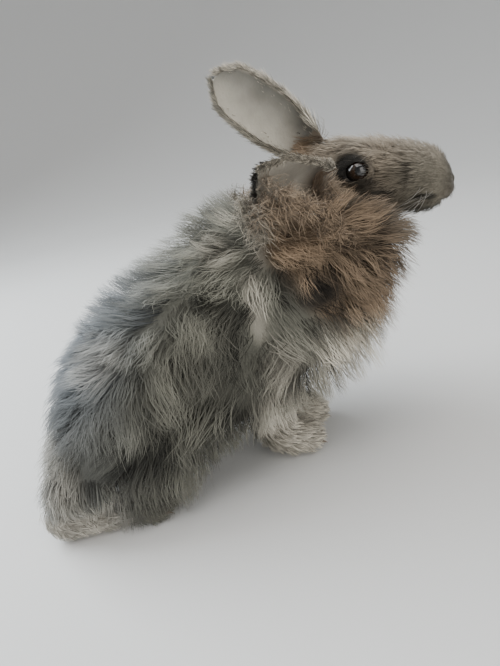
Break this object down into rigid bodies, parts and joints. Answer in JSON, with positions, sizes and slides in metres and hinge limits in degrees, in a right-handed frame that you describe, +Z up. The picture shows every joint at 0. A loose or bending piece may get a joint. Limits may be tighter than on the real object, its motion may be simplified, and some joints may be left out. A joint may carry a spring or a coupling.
{
  "type": "angora rabbit",
  "caption": "Life-size still model of a young angora rabbit with a long woolly coat, standing stretched with its head raised and turned, one ear up and the other held out.",
  "frame": {"origin": "under the middle of the model's box, on the level of the soles", "axes": "+X the way the body faces, +Y the animal's left, +Z up"},
  "size_m": [0.2856, 0.1394, 0.24],
  "materials": {
    "torso": "matte wool",
    "neck": "matte wool",
    "head": "matte short fur",
    "tail": "matte wool",
    "foreleg": "matte short fur",
    "hindleg": "matte wool and short fur",
    "ear": "matte short fur",
    "eye": "polished"
  },
  "bodies": {
    "root": {"torso": "torso", "neck": "neck", "head": "head", "tail": "tail", "foreleg_left": "foreleg", "foreleg_right": "foreleg", "hindleg_left": "hindleg", "hindleg_right": "hindleg", "ear_left": "ear", "ear_right": "ear", "eye_left": "eye", "eye_right": "eye"}
  },
  "joints": []
}
